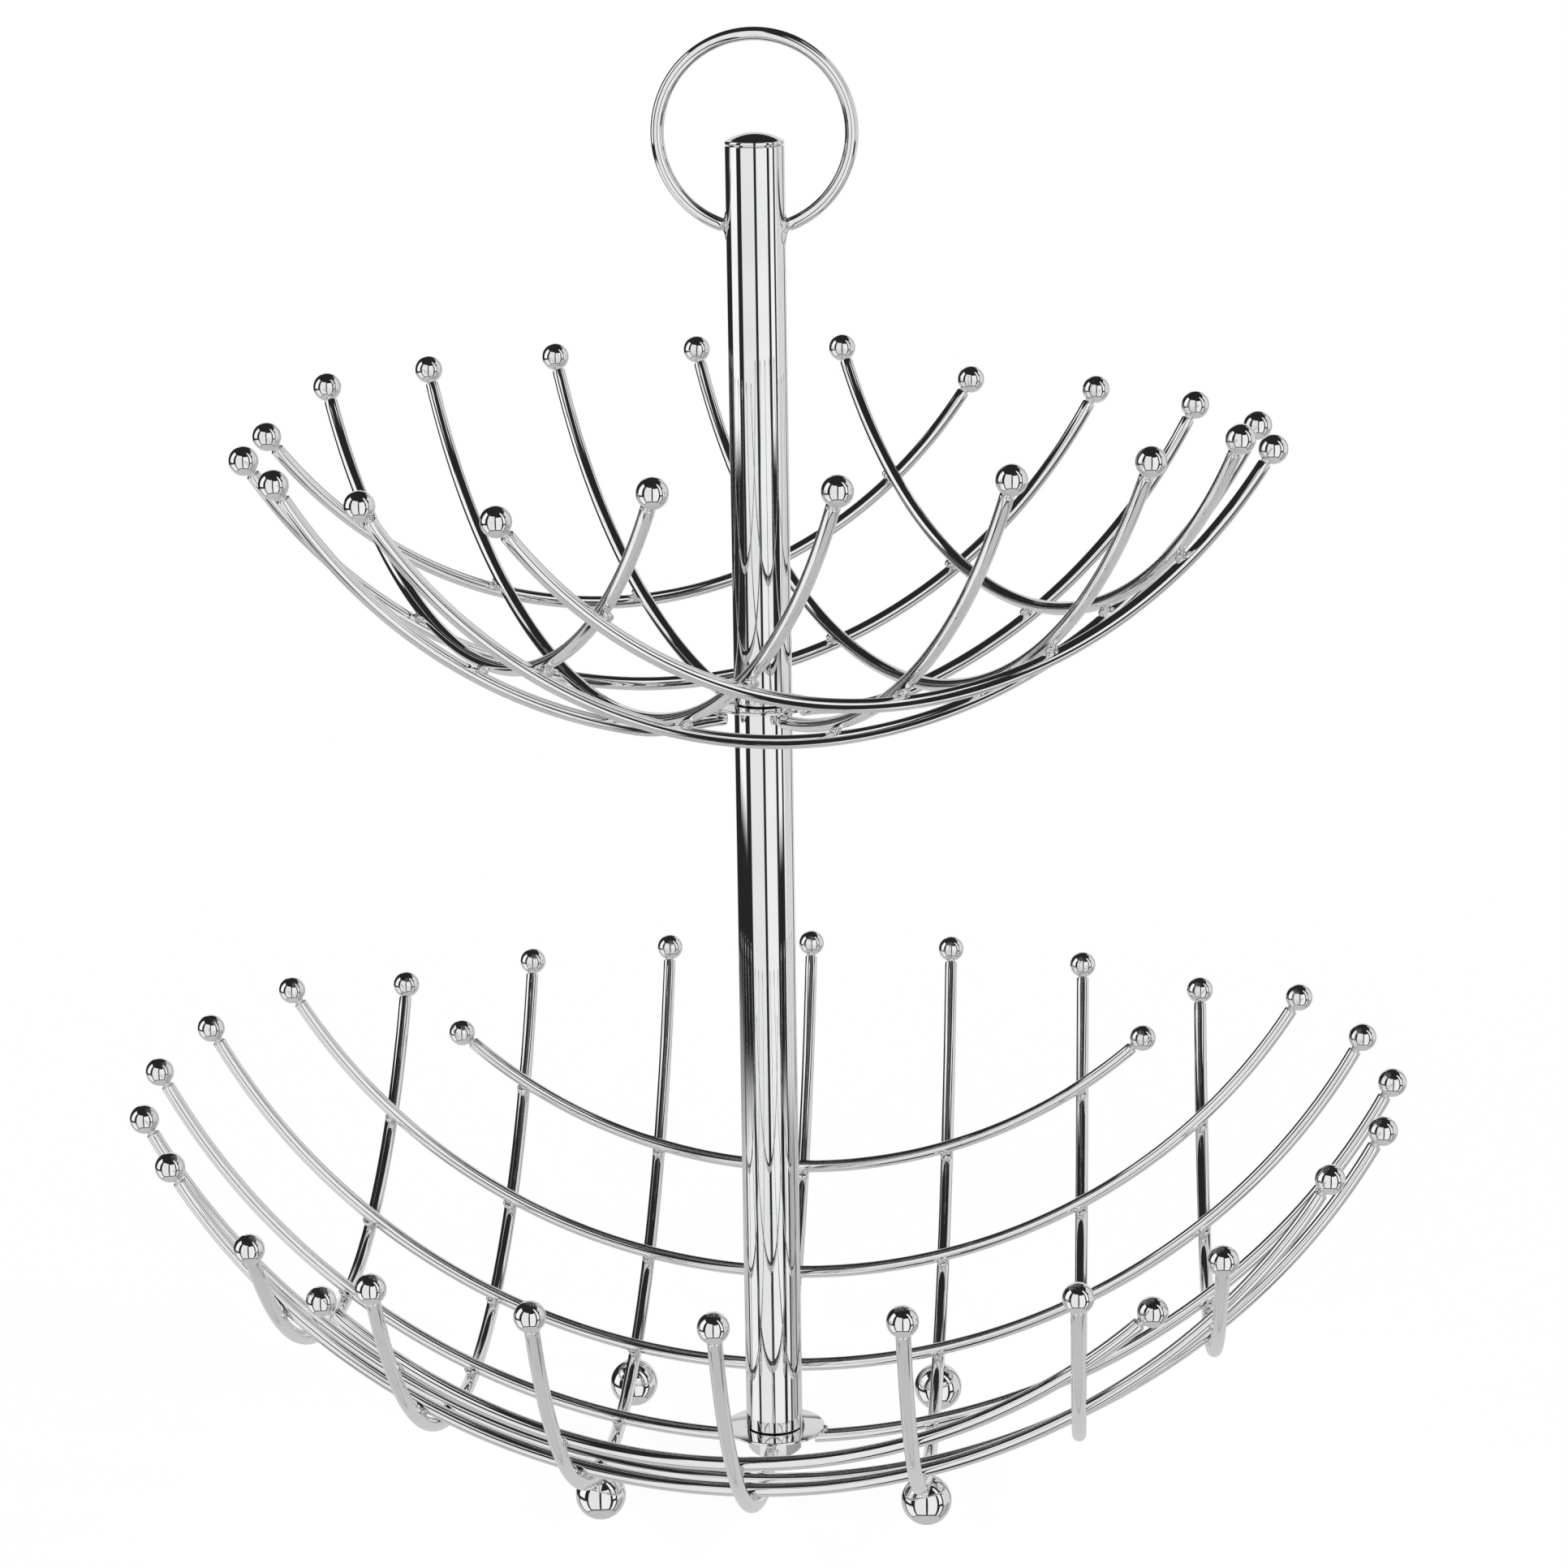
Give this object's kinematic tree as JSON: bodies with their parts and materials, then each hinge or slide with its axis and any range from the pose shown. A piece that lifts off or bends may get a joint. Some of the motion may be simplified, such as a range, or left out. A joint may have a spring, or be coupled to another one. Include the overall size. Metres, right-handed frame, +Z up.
{
  "type": "two-tier wire fruit stand",
  "caption": "Two round wire baskets with ball-ended wires, one above the other on a central tube, with ball feet and a ring handle on top.",
  "frame": {"origin": "on the table, on the column's axis, under the middle of the four feet", "axes": "+Z up the column, +X along the lower basket's cross wires and in the plane of the ring handle, +Y to the back along the lower basket's ribs"},
  "size_m": [0.3546, 0.3546, 0.4054],
  "materials": {
    "polished_wire": "bright chrome plate over polished round steel wire",
    "polished_tube": "bright chrome plate over drawn steel tube, with fine lengthwise polishing marks",
    "polished_disc": "bright chrome plate over stamped steel, with fine circular marks",
    "polished_foot": "bright chrome plate over a steel ball",
    "polished_cap": "bright chrome plate over a turned steel plug",
    "polished_nut": "chrome-plated steel nut",
    "zinc_plate": "bright zinc plate on steel"
  },
  "bodies": {
    "base": {"lower_cross_wire_1": "polished_wire", "lower_cross_wire_2": "polished_wire", "lower_cross_wire_3": "polished_wire", "lower_cross_wire_4_left": "polished_wire", "lower_cross_wire_4_right": "polished_wire", "lower_cross_wire_5": "polished_wire", "lower_cross_wire_6": "polished_wire", "lower_cross_wire_7": "polished_wire", "lower_rib_1": "polished_wire", "lower_rib_2": "polished_wire", "lower_rib_3": "polished_wire", "lower_rib_4_front": "polished_wire", "lower_rib_4_back": "polished_wire", "lower_rib_5": "polished_wire", "lower_rib_6": "polished_wire", "lower_rib_7": "polished_wire", "lower_disc": "polished_disc", "foot_front_left": "polished_foot", "foot_back_left": "polished_foot", "foot_front_right": "polished_foot", "foot_back_right": "polished_foot", "lower_tube": "polished_tube", "lower_tube_bottom_insert": "zinc_plate", "lower_tube_top_insert": "zinc_plate", "base_stud": "zinc_plate", "joint_stud": "zinc_plate", "base_nut": "polished_nut"},
    "upper_basket": {"upper_cross_wire_1": "polished_wire", "upper_cross_wire_2": "polished_wire", "upper_cross_wire_3_back": "polished_wire", "upper_cross_wire_3_front": "polished_wire", "upper_cross_wire_4": "polished_wire", "upper_cross_wire_5": "polished_wire", "upper_rib_1": "polished_wire", "upper_rib_2": "polished_wire", "upper_rib_3_left": "polished_wire", "upper_rib_3_right": "polished_wire", "upper_rib_4": "polished_wire", "upper_rib_5": "polished_wire", "upper_disc": "polished_disc"},
    "handle_column": {"upper_tube": "polished_tube", "upper_tube_insert": "zinc_plate", "top_cap": "polished_cap", "ring_handle": "polished_wire"}
  },
  "joints": [
    {"name": "upper_basket_swivel", "type": "hinge", "parent": "base", "child": "upper_basket", "pos_m": [0, 0, 0.2222], "axis": [0, 0, 1], "continuous": true},
    {"name": "handle_column_turn", "type": "hinge", "parent": "base", "child": "handle_column", "pos_m": [0, 0, 0.2229], "axis": [0, 0, 1], "continuous": true}
  ]
}
